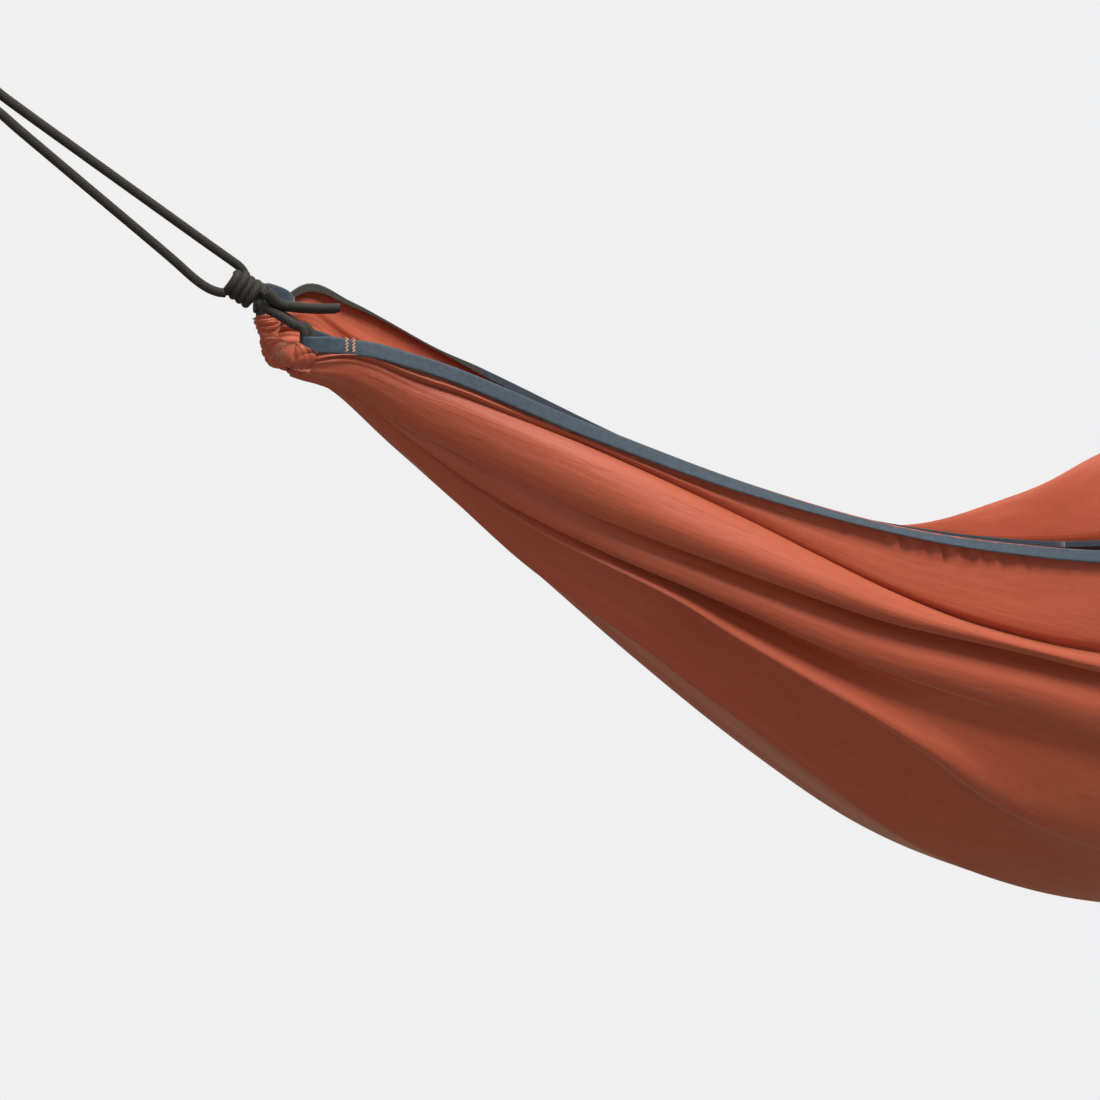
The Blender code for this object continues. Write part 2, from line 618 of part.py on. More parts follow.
def build():
    """Clears the scene and makes the hammock."""
    for item in list(bpy.data.objects):
        bpy.data.objects.remove(item)
    parts = new_collection("camping_hammock")
    cutters = new_collection("cutters")
    fabric = make_material("orange_polyester", (0.45, 0.10, 0.035), 0.65)
    tape = make_material("blue_webbing", (0.045, 0.10, 0.165), 0.75)
    rope = make_material("charcoal_braid", (0.042, 0.038, 0.032), 0.8)
    thread = make_material("orange_thread", (0.50, 0.16, 0.06), 0.6)
    steel = make_material("zinc_plated_steel", (0.55, 0.56, 0.57), 0.35, 1.0)
    make_bed_panel(fabric, parts)
    make_tape("near_edge_tape", -1, tape, parts)
    make_tape("far_edge_tape", 1, tape, parts)
    for end, right_half in (("left", False), ("right", True)):
        make_hem(end + "_end_channel", right_half, fabric, parts)
        make_bartack(f"near_{end}_bartack", -1, right_half, thread, parts)
        make_bartack(f"far_{end}_bartack", 1, right_half, thread, parts)
        make_ropes(end, right_half, rope, parts)
        make_hook(end + "_hook", right_half, steel, parts, cutters)
        make_gate(end + "_gate", right_half, steel, parts, cutters)
        make_pin(end + "_gate_pin", right_half, steel, parts)
        make_spring(end + "_gate_spring", right_half, steel, parts)


build()
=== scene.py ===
"""Gathered-end camping hammock: the visible model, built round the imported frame.

World axes as in the frame: +X from the left anchor to the right anchor, -Y the near side, +Z up, metres.
"""

import math

import bmesh
import bpy
import numpy as np
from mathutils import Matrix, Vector, noise


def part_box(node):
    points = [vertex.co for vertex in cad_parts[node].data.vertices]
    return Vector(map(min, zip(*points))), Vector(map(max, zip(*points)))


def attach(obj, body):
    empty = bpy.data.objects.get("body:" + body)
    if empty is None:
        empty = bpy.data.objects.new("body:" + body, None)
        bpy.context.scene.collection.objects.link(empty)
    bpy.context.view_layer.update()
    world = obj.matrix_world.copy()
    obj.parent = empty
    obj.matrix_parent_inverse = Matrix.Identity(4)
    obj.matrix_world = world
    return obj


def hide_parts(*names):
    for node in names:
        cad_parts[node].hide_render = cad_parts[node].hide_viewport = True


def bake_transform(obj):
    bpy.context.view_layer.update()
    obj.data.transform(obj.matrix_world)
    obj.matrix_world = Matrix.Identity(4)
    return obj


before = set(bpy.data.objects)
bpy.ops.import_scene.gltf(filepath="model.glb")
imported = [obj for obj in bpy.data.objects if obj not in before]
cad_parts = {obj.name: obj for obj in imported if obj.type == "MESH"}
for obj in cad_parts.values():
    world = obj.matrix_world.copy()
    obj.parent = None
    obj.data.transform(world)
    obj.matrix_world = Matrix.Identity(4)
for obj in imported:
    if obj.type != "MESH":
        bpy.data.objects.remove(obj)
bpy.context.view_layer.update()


# ---------------------------------------------------------------------------------------------
# Studio: a pale seamless paper floor well below the hammock, a large soft key light above the near
# side, weaker ones overhead, behind and low in front, and a level camera close to the left end.
# ---------------------------------------------------------------------------------------------
def linear(hex_colour):
    """Linear RGBA of an sRGB hex value."""
    parts = [int(hex_colour[i:i + 2], 16) / 255 for i in (1, 3, 5)]
    return tuple(c / 12.92 if c <= 0.04045 else ((c + 0.055) / 1.055)**2.4 for c in parts) + (1.0,)


def add_node(tree, kind, inputs=None, **settings):
    """Adds a node, sets its properties, and gives each input a value or a link."""
    node = tree.nodes.new(kind)
    for name, value in settings.items():
        setattr(node, name, value)
    for name, value in (inputs or {}).items():
        socket = node.inputs[name]
        if isinstance(value, bpy.types.NodeSocket):
            tree.links.new(value, socket)
        else:
            socket.default_value = value
    return node


BACKGROUND = linear("#F0F0F0")
scene = bpy.context.scene
world = bpy.data.worlds.new("pale_studio")
scene.world = world
world.use_nodes = True
sky = world.node_tree
sky.nodes.clear()
rays = add_node(sky, "ShaderNodeLightPath")
seen = add_node(sky, "ShaderNodeBackground", {"Color": BACKGROUND, "Strength": 1.0})
aim = add_node(sky, "ShaderNodeTexCoord")
parts = add_node(sky, "ShaderNodeSeparateXYZ", {0: aim.outputs["Generated"]})
dome = add_node(sky, "ShaderNodeMapRange", {"Value": parts.outputs["Z"], "From Min": -0.45, "From Max": 0.9,
                                            "To Min": 0.27, "To Max": 0.42})
fill = add_node(sky, "ShaderNodeBackground", {"Color": linear("#F4F6FA"), "Strength": dome.outputs[0]})
both = add_node(sky, "ShaderNodeMixShader", {0: rays.outputs["Is Camera Ray"], 1: fill.outputs[0],
                                             2: seen.outputs[0]})
add_node(sky, "ShaderNodeOutputWorld", {"Surface": both.outputs[0]})

FLOOR_PLACE = (1.47, 0.0, -1.30)
FLOOR_RADIUS = 9.0
floor_mesh = bpy.data.meshes.new("studio_floor")
bm = bmesh.new()
bmesh.ops.create_circle(bm, cap_ends=True, segments=96, radius=FLOOR_RADIUS)
bm.to_mesh(floor_mesh)
bm.free()
floor = bpy.data.objects.new("studio_floor", floor_mesh)
floor.location = FLOOR_PLACE
scene.collection.objects.link(floor)

paper = bpy.data.materials.new("seamless_paper")
paper.use_nodes = True
paper_tree = paper.node_tree
paper_tree.nodes.clear()
rays = add_node(paper_tree, "ShaderNodeLightPath")
lit = add_node(paper_tree, "ShaderNodeEmission", {"Color": BACKGROUND, "Strength": 1.0})
matt = add_node(paper_tree, "ShaderNodeBsdfDiffuse", {"Color": linear("#857B76")})
both = add_node(paper_tree, "ShaderNodeMixShader", {0: rays.outputs["Is Camera Ray"], 1: matt.outputs[0],
                                                    2: lit.outputs[0]})
add_node(paper_tree, "ShaderNodeOutputMaterial", {"Surface": both.outputs[0]})
floor_mesh.materials.append(paper)


def soft_light(name, place, target, size, power, colour):
    """A square area light that faces a point."""
    data = bpy.data.lights.new(name, "AREA")
    data.size = size
    data.energy = power
    data.color = linear(colour)[:3]
    item = bpy.data.objects.new(name, data)
    item.location = place
    item.rotation_euler = (Vector(target) - Vector(place)).to_track_quat("-Z", "Y").to_euler()
    scene.collection.objects.link(item)


BED_UPPER_MIDDLE = (1.2, 0.0, -0.45)
soft_light("key", (0.56, -1.85, 2.05), BED_UPPER_MIDDLE, 1.2, 98.0, "#FFFBF4")
soft_light("top", (1.0, -0.3, 2.3), BED_UPPER_MIDDLE, 1.2, 30.0, "#FFFFFF")
soft_light("rear", (2.1, 2.7, 1.5), (1.6, 0.0, -0.45), 1.6, 40.0, "#FFFFFF")
soft_light("low_front_left", (-1.5, -2.2, -0.7), (0.9, 0.0, -0.5), 1.2, 14.0, "#FFFFFF")

camera_data = bpy.data.cameras.new("camera")
camera_data.lens = 58.35
camera_data.sensor_width = 36.0
camera = bpy.data.objects.new("camera", camera_data)
camera.location = (-0.2763, -1.463, -0.3966)
camera.rotation_euler = (math.radians(90.0), 0.0, math.radians(-30.0))
scene.collection.objects.link(camera)
scene.camera = camera
scene.view_settings.view_transform = "Standard"


# ---------------------------------------------------------------------------------------------
# Hang loops: 8 mm charcoal cord, a nylon core under a sixteen-strand polyester braid. Each loop
# runs from its knot up round the snap hook's lower bow and back down to the knot, and is taut.
# ---------------------------------------------------------------------------------------------
ENDS = (("left", False), ("right", True))
ANCHOR_SPAN = 2.940
ROPE_DIAMETER = 0.008
ROPE_RADIUS = ROPE_DIAMETER / 2
HOOK_BAR_RADIUS = 0.003
HOOK_LOWER_BOW_REACH = 0.051
SWING_LIMIT = math.radians(20.0)
CLEARANCE = 0.0003


def mirrored(points, right_half):
    """The same points at the right end."""
    return [Vector((ANCHOR_SPAN - p[0] if right_half else p[0], p[1], p[2])) for p in points]


def smooth_route(points, steps):
    """Points along a Catmull-Rom curve through the route's own points, steps to each span."""
    p = [Vector(q) for q in points]
    p = [p[0] * 2 - p[1]] + p + [p[-1] * 2 - p[-2]]
    route = []
    for a, b, c, d in zip(p, p[1:], p[2:], p[3:]):
        for i in range(steps):
            t = i / steps
            route.append(0.5 * (2 * b + (c - a) * t + (2 * a - 5 * b + 4 * c - d) * t**2
                                + (3 * b - a - 3 * c + d) * t**3))
    return route + [p[-2]]


def skin(name, rows, material, closed=False, capped=False, wide=1.0):
    """A surface over rows of points; its UV map is in metres along the rows, and wide across them."""
    bm = bmesh.new()
    layer = bm.loops.layers.uv.new("UVMap")
    verts = [[bm.verts.new(p) for p in row] for row in rows]
    middle = [row[len(row) // 2] for row in rows]
    along = [0.0]
    for a, b in zip(middle, middle[1:]):
        along.append(along[-1] + (Vector(b) - Vector(a)).length)
    count = len(rows[0])
    faces_across = count if closed else count - 1
    for r in range(len(rows) - 1):
        for i in range(faces_across):
            j = (i + 1) % count
            face = bm.faces.new((verts[r][i], verts[r][j], verts[r + 1][j], verts[r + 1][i]))
            face.smooth = True
            for corner, (u, v) in zip(face.loops, ((r, i), (r, i + 1), (r + 1, i + 1), (r + 1, i))):
                corner[layer].uv = (along[u], v / faces_across * wide)
    if capped:
        bm.faces.new(list(reversed(verts[0])))
        bm.faces.new(verts[-1])
    mesh = bpy.data.meshes.new(name)
    bmesh.ops.recalc_face_normals(bm, faces=bm.faces)
    bm.to_mesh(mesh)
    bm.free()
    mesh.materials.append(material)
    item = bpy.data.objects.new(name, mesh)
    scene.collection.objects.link(item)
    return item


def tube_rows(route, radius, sides=16):
    """Rings of points along a route; radius is one number or one for each point."""
    radii = radius if hasattr(radius, "__len__") else [radius] * len(route)
    ahead = (route[1] - route[0]).normalized()
    across = ahead.cross(Vector((0.31, 0.94, 0.12))).normalized()
    rows = []
    for i, p in enumerate(route):
        ahead = (route[min(i + 1, len(route) - 1)] - route[max(i - 1, 0)]).normalized()
        across = (across - ahead * across.dot(ahead)).normalized()
        up = ahead.cross(across)
        turns = [2 * math.pi * k / sides for k in range(sides)]
        rows.append([p + (across * math.cos(t) + up * math.sin(t)) * radii[i] for t in turns])
    return rows


def new_finish(name):
    """A new material, with its node tree and its shader."""
    material = bpy.data.materials.new(name)
    material.use_nodes = True
    return material, material.node_tree, material.node_tree.nodes["Principled BSDF"]


# Braided polyester cord: matt charcoal yarn bundles that cross at a slant, eight each way round the
# cord and about 2.2 mm long, drawn 3 mm long so that they show.
BUNDLES_ROUND = 8
BUNDLE_LENGTH = 0.0030


def braided_cord(name, dark, pale):
    """The cord's finish: slanting yarn bundles both ways, with painted highlight on their crowns and
    painted shade between them.
    """
    material, tree, shader = new_finish(name)
    place = add_node(tree, "ShaderNodeUVMap", uv_map="UVMap")
    parts = add_node(tree, "ShaderNodeSeparateXYZ", {0: place.outputs[0]})
    waves = []
    for sign in (1, -1):
        slant = add_node(tree, "ShaderNodeMath", {0: parts.outputs["Y"], 1: sign * BUNDLES_ROUND},
                         operation="MULTIPLY")
        run = add_node(tree, "ShaderNodeMath", {0: parts.outputs["X"], 1: 1 / BUNDLE_LENGTH,
                                                2: slant.outputs[0]}, operation="MULTIPLY_ADD")
        angle = add_node(tree, "ShaderNodeMath", {0: run.outputs[0], 1: math.pi}, operation="MULTIPLY")
        wave = add_node(tree, "ShaderNodeMath", {0: angle.outputs[0]}, operation="SINE")
        waves.append(add_node(tree, "ShaderNodeMath", {0: wave.outputs[0]}, operation="ABSOLUTE"))
    braid = add_node(tree, "ShaderNodeMath", {0: waves[0].outputs[0], 1: waves[1].outputs[0]},
                     operation="MULTIPLY")
    where = add_node(tree, "ShaderNodeTexCoord")
    fuzz = add_node(tree, "ShaderNodeTexNoise", {"Vector": where.outputs["Object"], "Scale": 900.0,
                                                 "Detail": 3.0})
    # colour follows the braid relief: painted highlight on the crowns, painted shade in the hollows, plus
    # random fuzz
    shade = add_node(tree, "ShaderNodeMath", {0: braid.outputs[0], 1: 0.75, 2: fuzz.outputs[0]},
                     operation="MULTIPLY_ADD")
    ramp = add_node(tree, "ShaderNodeValToRGB", {0: shade.outputs[0]})
    ramp.color_ramp.elements[0].position = 0.35
    ramp.color_ramp.elements[0].color = linear(dark)
    ramp.color_ramp.elements[1].position = 1.25 / 1.3
    ramp.color_ramp.elements[1].color = linear(pale)
    relief = add_node(tree, "ShaderNodeBump", {"Height": braid.outputs[0], "Strength": 0.45,
                                               "Distance": 0.0005})
    tree.links.new(ramp.outputs[0], shader.inputs["Base Color"])
    tree.links.new(relief.outputs[0], shader.inputs["Normal"])
    shader.inputs["Roughness"].default_value = 0.72
    shader.inputs["Sheen Weight"].default_value = 0.05
    shader.inputs["Specular IOR Level"].default_value = 0.3
    return material


cord_finish = braided_cord("braided_polyester_cord", "#12110F", "#34322D")
rope_slope = math.radians(33.1)
rope_direction = Vector((math.cos(rope_slope), 0.0, -math.sin(rope_slope)))
rope_normal = Vector((math.sin(rope_slope), 0.0, math.cos(rope_slope)))
loop_bend = rope_direction * HOOK_LOWER_BOW_REACH
bend_radius = (ROPE_RADIUS + HOOK_BAR_RADIUS) / math.cos(SWING_LIMIT) + CLEARANCE


def hang_loop_route():
    """The loop's own points: upper leg, the bend on the hook, lower leg."""
    upper = [(0.2648, 0.0, -0.1640), (0.2640, 0.0, -0.1580), (0.2600, 0.0, -0.1530), (0.2529, 0.0, -0.1483),
             (0.2280, 0.0, -0.1335), (0.1880, 0.0, -0.1093), (0.1450, 0.0, -0.0833), (0.1000, 0.0, -0.0560),
             (0.0740, 0.0, -0.0401), (0.0580, 0.0, -0.0300)]
    lower = [(0.0560, 0.0, -0.0441), (0.0720, 0.0, -0.0563), (0.0970, 0.0, -0.0748), (0.1350, 0.0, -0.1028),
             (0.1700, 0.0, -0.1285), (0.2000, 0.0, -0.1508), (0.2180, 0.0, -0.1650), (0.2300, 0.0, -0.1725),
             (0.2400, 0.0, -0.1758), (0.2466, 0.0, -0.1762)]
    bend = []
    for i in range(7):
        turn = math.radians(90 + 180 * i / 6)
        outward = rope_direction * math.cos(turn) + rope_normal * math.sin(turn)
        bend.append(tuple(loop_bend + outward * bend_radius))
    return upper + bend + lower


hang_loops = {}
for end, right in ENDS:
    route = mirrored(smooth_route(hang_loop_route(), 6), right)
    loop = skin(f"{end}_hang_loop_cord", tube_rows(route, ROPE_RADIUS, 20), cord_finish, True, True)
    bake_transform(loop)
    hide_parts(f"{end}_hang_loop")
    hang_loops[end] = (loop, route)


# ---------------------------------------------------------------------------------------------
# Knots: the doubled cord is tied round itself in two short barrels of turns, pulled hard
# together. Same cord as the loops.
# ---------------------------------------------------------------------------------------------
KNOT_CENTRE = Vector((0.2640, 0.0, -0.1712))
KNOT_LENGTH = 0.0266
KNOT_TURNS = 4.1
KNOT_STRAND_RADIUS = 0.0039


def knot_turns():
    """The winding strand: two pairs of tight turns about the standing rope, with a slight waist between."""
    axis = Vector((0.86, 0.0, -0.51)).normalized()
    side = Vector((0.0, 1.0, 0.0))
    up = axis.cross(side)
    points = []
    count = 160
    for i in range(count + 1):
        share = i / count
        turn = 1.9 + 2 * math.pi * KNOT_TURNS * share
        ends = min(1.0, share / 0.07, (1 - share) / 0.07)
        radius = 0.0056 + 0.0046 * ends**0.6 - 0.0009 * math.exp(-((share - 0.50) / 0.06)**2)
        radius -= 0.0006 * share
        lean = 0.0016 * math.sin(turn + 0.4)
        place = KNOT_CENTRE + axis * (-0.0132 + KNOT_LENGTH * share + lean)
        points.append(place + side * math.cos(turn) * radius * 0.90 + up * math.sin(turn) * radius * 1.04)
    return points


for end, right in ENDS:
    rings = tube_rows(mirrored(knot_turns(), right), KNOT_STRAND_RADIUS, 14)
    turns = skin(f"{end}_knot_turns", rings, cord_finish, True, True)
    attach(turns, "bed")
    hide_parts(f"{end}_knot")
    loop, route = hang_loops[end]


# ---------------------------------------------------------------------------------------------
# Cinch ropes: the same cord doubled side by side, from the knot to the near corner, down through
# the hem and up from the far corner to the knot. The two cut ends stand out of the knot as tails.
# ---------------------------------------------------------------------------------------------
TAPE_WIDTH = 0.0145
TAPE_THICKNESS = 0.0012
HEM_NEAR_MOUTH = Vector((0.3140, -0.0265, -0.2245))
HEM_FAR_MOUTH = Vector((0.2930, 0.0255, -0.1900))
HEM_BOTTOM_Z = -0.2375
HEM_TURN = 0.0130
HEM_LIFT = 0.024
LOOP_ABOVE_HEM = 0.0030


def hem_line():
    """The centre of the left hem channel, from its near mouth to its far one."""
    near, far = HEM_NEAR_MOUTH, HEM_FAR_MOUTH
    turn_z = HEM_BOTTOM_Z + HEM_TURN
    places = [(near.y, near.z)]
    for i in range(6):
        angle = math.pi / 2 * i / 5
        places.append((near.y + HEM_TURN * (1 - math.cos(angle)), turn_z - HEM_TURN * math.sin(angle)))
    for i in range(6):
        angle = math.pi / 2 * i / 5
        places.append((far.y - HEM_TURN * (1 - math.sin(angle)), turn_z - HEM_TURN * math.cos(angle)))
    places += [(far.y, turn_z + (far.z - turn_z) * i / 3) for i in (1, 2, 3)]
    last = len(places) - 1
    line = []
    for i, (y, z) in enumerate(places):
        lift = HEM_LIFT * i / last * min(1.0, (far.z - z) / (far.z - HEM_BOTTOM_Z))
        line.append(Vector((near.x + (far.x - near.x) * i / last, y, z + lift)))
    return line[1:]


def over_loop(mouth, toward):
    """Points from above a hem mouth, out over the rim of the tape's loop, towards the knot."""
    rim = LOOP_ABOVE_HEM + TAPE_WIDTH
    steps = [(0.0, rim / 2), (0.0, rim - 0.0065), (0.0020, rim - 0.0012), (0.0054, rim + 0.0018),
             (0.0110, rim + 0.0036)]
    return [tuple(mouth + toward * s + Vector((0.0, 0.0, h))) for s, h in steps]


def cinch_route():
    """The doubled rope from the knot to the near corner, through the hem, and back to the knot."""
    near, far = hem_line()[0], hem_line()[-1]
    down = [(0.2780, 0.0010, -0.1835), (0.2880, -0.0070, -0.1903), (0.2970, -0.0140, -0.1963)]
    down += reversed(over_loop(near, Vector((-0.84, 0.54, 0.0))))
    up = over_loop(far, Vector((-0.61, -0.79, 0.0)))
    up += [(0.2800, 0.0110, -0.1675), (0.2760, 0.0075, -0.1685)]
    return down + [tuple(p) for p in hem_line()] + up


def side_by_side(points, side):
    """One of two ropes lying beside each other along a line, turning with it from near to far."""
    near, middle, far = Vector((0.75, 0.66, 0.0)), Vector((1.0, 0.0, 0.0)), Vector((0.79, -0.61, 0.0))
    shift = side * (ROPE_RADIUS + CLEARANCE)
    last = len(points) - 1
    moved = []
    for i, p in enumerate(points):
        share = 2 * i / last
        across = near.lerp(middle, share) if share < 1 else middle.lerp(far, share - 1)
        ahead = (points[min(i + 1, last)] - points[max(i - 1, 0)]).normalized()
        moved.append(p + (across - ahead * across.dot(ahead)).normalized() * shift)
    return moved


def tail_route(side):
    """One cut end of the rope, from the knot out over the gather."""
    start = [(0.2785, -0.0150, -0.1745), (0.2825, -0.0058, -0.1758)][side]
    apart = (1 - side) * (ROPE_DIAMETER + 2 * CLEARANCE)
    rest = [(0.2910, -0.0060, -0.1838), (0.3068, -0.0085, -0.1860), (0.3261, -0.0115, -0.1862),
            (0.3431, -0.0135, -0.1852)]
    return [start] + [(x, y - apart, z) for x, y, z in rest]


for end, right in ENDS:
    middle_line = smooth_route(cinch_route(), 5)
    for place, label in enumerate(("front", "rear")):
        route = mirrored(side_by_side(middle_line, 2 * place - 1), right)
        rings = tube_rows(route, ROPE_RADIUS, 18)
        strand = skin(f"{end}_cinch_cord_{label}", rings, cord_finish, True, True)
        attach(strand, "bed")
        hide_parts(f"{end}_cinch_rope_{label}")
        route = mirrored(smooth_route(tail_route(place), 8), right)
        rings = tube_rows(route, ROPE_RADIUS, 18)
        tail = skin(f"{end}_tail_cord_{label}", rings, cord_finish, True, True)
        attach(tail, "bed")
        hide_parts(f"{end}_tail_{label}")


# ---------------------------------------------------------------------------------------------
# Bed: one cut of terracotta polyester taffeta, 1.35 m across the middle and 2.65 m long down its
# centre, narrower at both ends, where it is gathered so that it hangs as a deep trough. The
# gathers run out into a few long rolls that fade to the middle.
# ---------------------------------------------------------------------------------------------
GATHER_X = 0.292
HALF_LENGTH = 1.178
GATHER_HALF_WIDTH = 0.020
MOUTH_HALF_WIDTH = 0.250
WALL_FULLNESS = 0.72
CLOTH_THICKNESS = 0.0004
CUT_WIDTH = 1.35
NEAR_EDGE = ((0.012, -0.2245), (0.05, -0.2155), (0.10, -0.2262), (0.25, -0.283), (0.40, -0.336),
             (0.55, -0.3745), (0.70, -0.393), (0.90, -0.400), (HALF_LENGTH, -0.403))
FAR_EDGE = ((0.012, -0.1900), (0.05, -0.163), (0.10, -0.171), (0.20, -0.203), (0.35, -0.250),
            (0.55, -0.307), (0.75, -0.350), (0.90, -0.370), (1.05, -0.385), (HALF_LENGTH, -0.391))
BOTTOM = ((0.012, -0.2350), (0.06, -0.257), (0.12, -0.304), (0.25, -0.402), (0.40, -0.514),
          (0.55, -0.617), (0.70, -0.705), (0.85, -0.764), (1.00, -0.799), (HALF_LENGTH, -0.816))


def along_stations(places, values, distance):
    """A smooth curve through values at places, level at its last one."""
    x, z = np.array(places, float), np.array(values, float)
    slope = np.gradient(z, x)
    slope[-1] = 0.0
    d = np.clip(distance, x[0], x[-1])
    i = np.clip(np.searchsorted(x, d, side="right") - 1, 0, len(x) - 2)
    h = x[i + 1] - x[i]
    t = (d - x[i]) / h
    return (z[i] * (1 + 2 * t) * (1 - t)**2 + slope[i] * h * t * (1 - t)**2
            + z[i + 1] * t * t * (3 - 2 * t) - slope[i + 1] * h * t * t * (1 - t))


def height(stations, distance):
    """Height of an edge or of the bottom at a distance from the gather."""
    return along_stations([s[0] for s in stations], [s[1] for s in stations], distance)


def half_width(distance):
    """Half of the bed's width between its edges."""
    share = np.minimum(1.0, np.asarray(distance) / HALF_LENGTH)
    return GATHER_HALF_WIDTH + (MOUTH_HALF_WIDTH - GATHER_HALF_WIDTH) * np.sin(np.pi / 2 * share)**0.9


def wall_points(distance, angle):
    """Points of the smooth trough: angle runs from 0 at the near edge to pi at the far one."""
    near, far = height(NEAR_EDGE, distance), height(FAR_EDGE, distance)
    edge = near + (far - near) * (1 - np.cos(angle)) / 2
    drop = (edge - height(BOTTOM, distance)) * np.sin(np.clip(angle, 0, np.pi))**WALL_FULLNESS
    drop = drop * (1 - 0.45 * np.exp(-(distance / 0.07)**2) * np.clip(angle / np.pi - 0.35, 0, 0.5) * 2)
    x = GATHER_X + distance + 0.011 * np.cos(angle) * np.exp(-distance / 0.12)
    y = -half_width(distance) * np.cos(angle) * (1 + 0.10 * np.sin(angle)**2)
    return np.stack([x, y, edge - drop], axis=-1)


# where each long fold runs, as a share of the way from the near edge to the far one
LINE_PLACES = (0.012, 0.06, 0.10, 0.14, 0.18, 0.23, 0.28, 0.34,
               0.40, 0.46, 0.53, 0.60, 0.68, 0.77, 0.95, HALF_LENGTH)
LINES = {
    "crest": (0.090, 0.090, 0.078, 0.055, 0.043, 0.031, 0.028, 0.028,
              0.032, 0.040, 0.050, 0.057, 0.060, 0.061, 0.060, 0.058),
    "tuck": (0.360, 0.360, 0.330, 0.262, 0.221, 0.183, 0.152, 0.123,
             0.105, 0.094, 0.085, 0.076, 0.072, 0.074, 0.080, 0.084),
    "roll": (0.400, 0.392, 0.372, 0.350, 0.328, 0.285, 0.242, 0.200,
             0.175, 0.162, 0.148, 0.137, 0.130, 0.134, 0.142, 0.146),
    "fan": (0.425, 0.418, 0.405, 0.388, 0.365, 0.320, 0.268, 0.230,
            0.225, 0.220, 0.220, 0.230, 0.255, 0.272, 0.280, 0.280),
    "keel": (0.480, 0.480, 0.478, 0.475, 0.470, 0.462, 0.433, 0.398,
             0.392, 0.390, 0.400, 0.418, 0.435, 0.448, 0.455, 0.458),
}

# how far each place of the section stands out from the smooth trough, in millimetres
OUT_PLACES = (0.012, 0.06, 0.12, 0.20, 0.30, 0.45, 0.60, 0.77, 0.95, HALF_LENGTH)
SECTION = (
    ("tape", 0.0, "tape", (0, 0, 0, 0, 0, 0, 0, 0, 0, 0)),
    ("tape", 1.0, "tape", (0, 0, 0, 0, 0, 0, 0, 0, 0, 0)),
    ("tape", 0.45, "crest", (0, 2, 4, 4, 3, 1, 0, 0, 0, 0)),
    ("tape", 0.82, "crest", (0, 0, -1, -2, -2, -3, -4, -5, -4, -2)),
    ("tape", 0.95, "crest", (0, -1, -4, -5, -5, -8, -13, -16, -13, -7)),
    ("crest", 0.00, "tuck", (0, 0, 1, 2, 2, 1, 0, -2, -1, 0)),
    ("crest", 0.12, "tuck", (0, 1, 3, 6, 9, 9, 8, 7, 5, 3)),
    ("crest", 0.28, "tuck", (0, 2, 5, 8, 12, 14, 14, 12, 8, 5)),
    ("crest", 0.72, "tuck", (0, 2, 5, 9, 14, 17, 16, 13, 9, 5)),
    ("crest", 1.05, "tuck", (0, 1, 2, 4, 6, 7, 6, 5, 4, 2)),
    ("crest", 0.97, "tuck", (0, -2, -4, -7, -10, -12, -12, -9, -6, -3)),
    ("tuck", 0.30, "roll", (0, 0, -1, -2, -3, -4, -4, -3, -1, 0)),
    ("tuck", 0.62, "roll", (0, 1, 3, 5, 6, 5, 3, 2, 2, 1)),
    ("tuck", 1.00, "roll", (0, 1, 3, 5, 5, 2, -2, -4, -3, -1)),
    ("roll", 0.14, "fan", (0, -3, -7, -13, -19, -23, -21, -16, -10, -5)),
    ("roll", 0.55, "fan", (0, -1, -3, -5, -6, -8, -9, -8, -5, -3)),
    ("fan", 0.00, "keel", (0, 1, 3, 7, 13, 17, 14, 4, 0, 0)),
    ("fan", 0.10, "keel", (0, -3, -8, -15, -22, -26, -21, -10, -3, -1)),
    ("fan", 0.35, "keel", (0, -2, -6, -11, -17, -22, -21, -13, -6, -3)),
    ("fan", 0.75, "keel", (0, 0, 1, 4, 7, 5, 0, -3, -2, 0)),
    ("keel", 0.00, "under", (0, 2, 6, 13, 20, 23, 16, 6, 2, 1)),
    ("keel", 0.12, "under", (0, -2, -5, -9, -14, -16, -12, -6, -2, 0)),
    ("keel", 0.55, "under", (0, -1, -2, -3, -5, -6, -4, -2, -1, 0)),
    ("keel", 1.00, "under", (0, -1, -2, -4, -6, -7, -5, -3, -1, 0)),
    ("far", 0.540, "", (0, -1, -2, -4, -6, -7, -6, -3, -2, -1)),
    ("far", 0.590, "", (0, 0, 0, -1, -2, -2, -1, 0, 0, 0)),
    ("far", 0.625, "", (0, -1, -4, -8, -12, -14, -12, -8, -4, -2)),
    ("far", 0.690, "", (0, 0, -1, -3, -5, -5, -4, -2, 0, 0)),
    ("far", 0.745, "", (0, 0, 0, 1, 2, 3, 3, 2, 1, 0)),
    ("far", 0.765, "", (0, -1, -4, -8, -12, -14, -12, -8, -4, -2)),
    ("far", 0.820, "", (0, 0, 0, 0, 0, 1, 2, 2, 2, 1)),
    ("far", 0.862, "", (0, 1, 4, 7, 9, 9, 8, 6, 4, 2)),
    ("far", 0.885, "", (0, -2, -5, -9, -10, -10, -9, -6, -4, -2)),
    ("far", 0.925, "", (0, 1, 2, 3, 3, 3, 3, 2, 1, 0)),
    ("far", 0.955, "", (0, -2, -5, -8, -8, -6, -4, -3, -2, -1)),
    ("far", 0.980, "", (0, 0, 0, 1, 2, 2, 2, 1, 0, 0)),
    ("far", 1.000, "", (0, 0, 0, 0, 0, 0, 0, 0, 0, 0)),
)


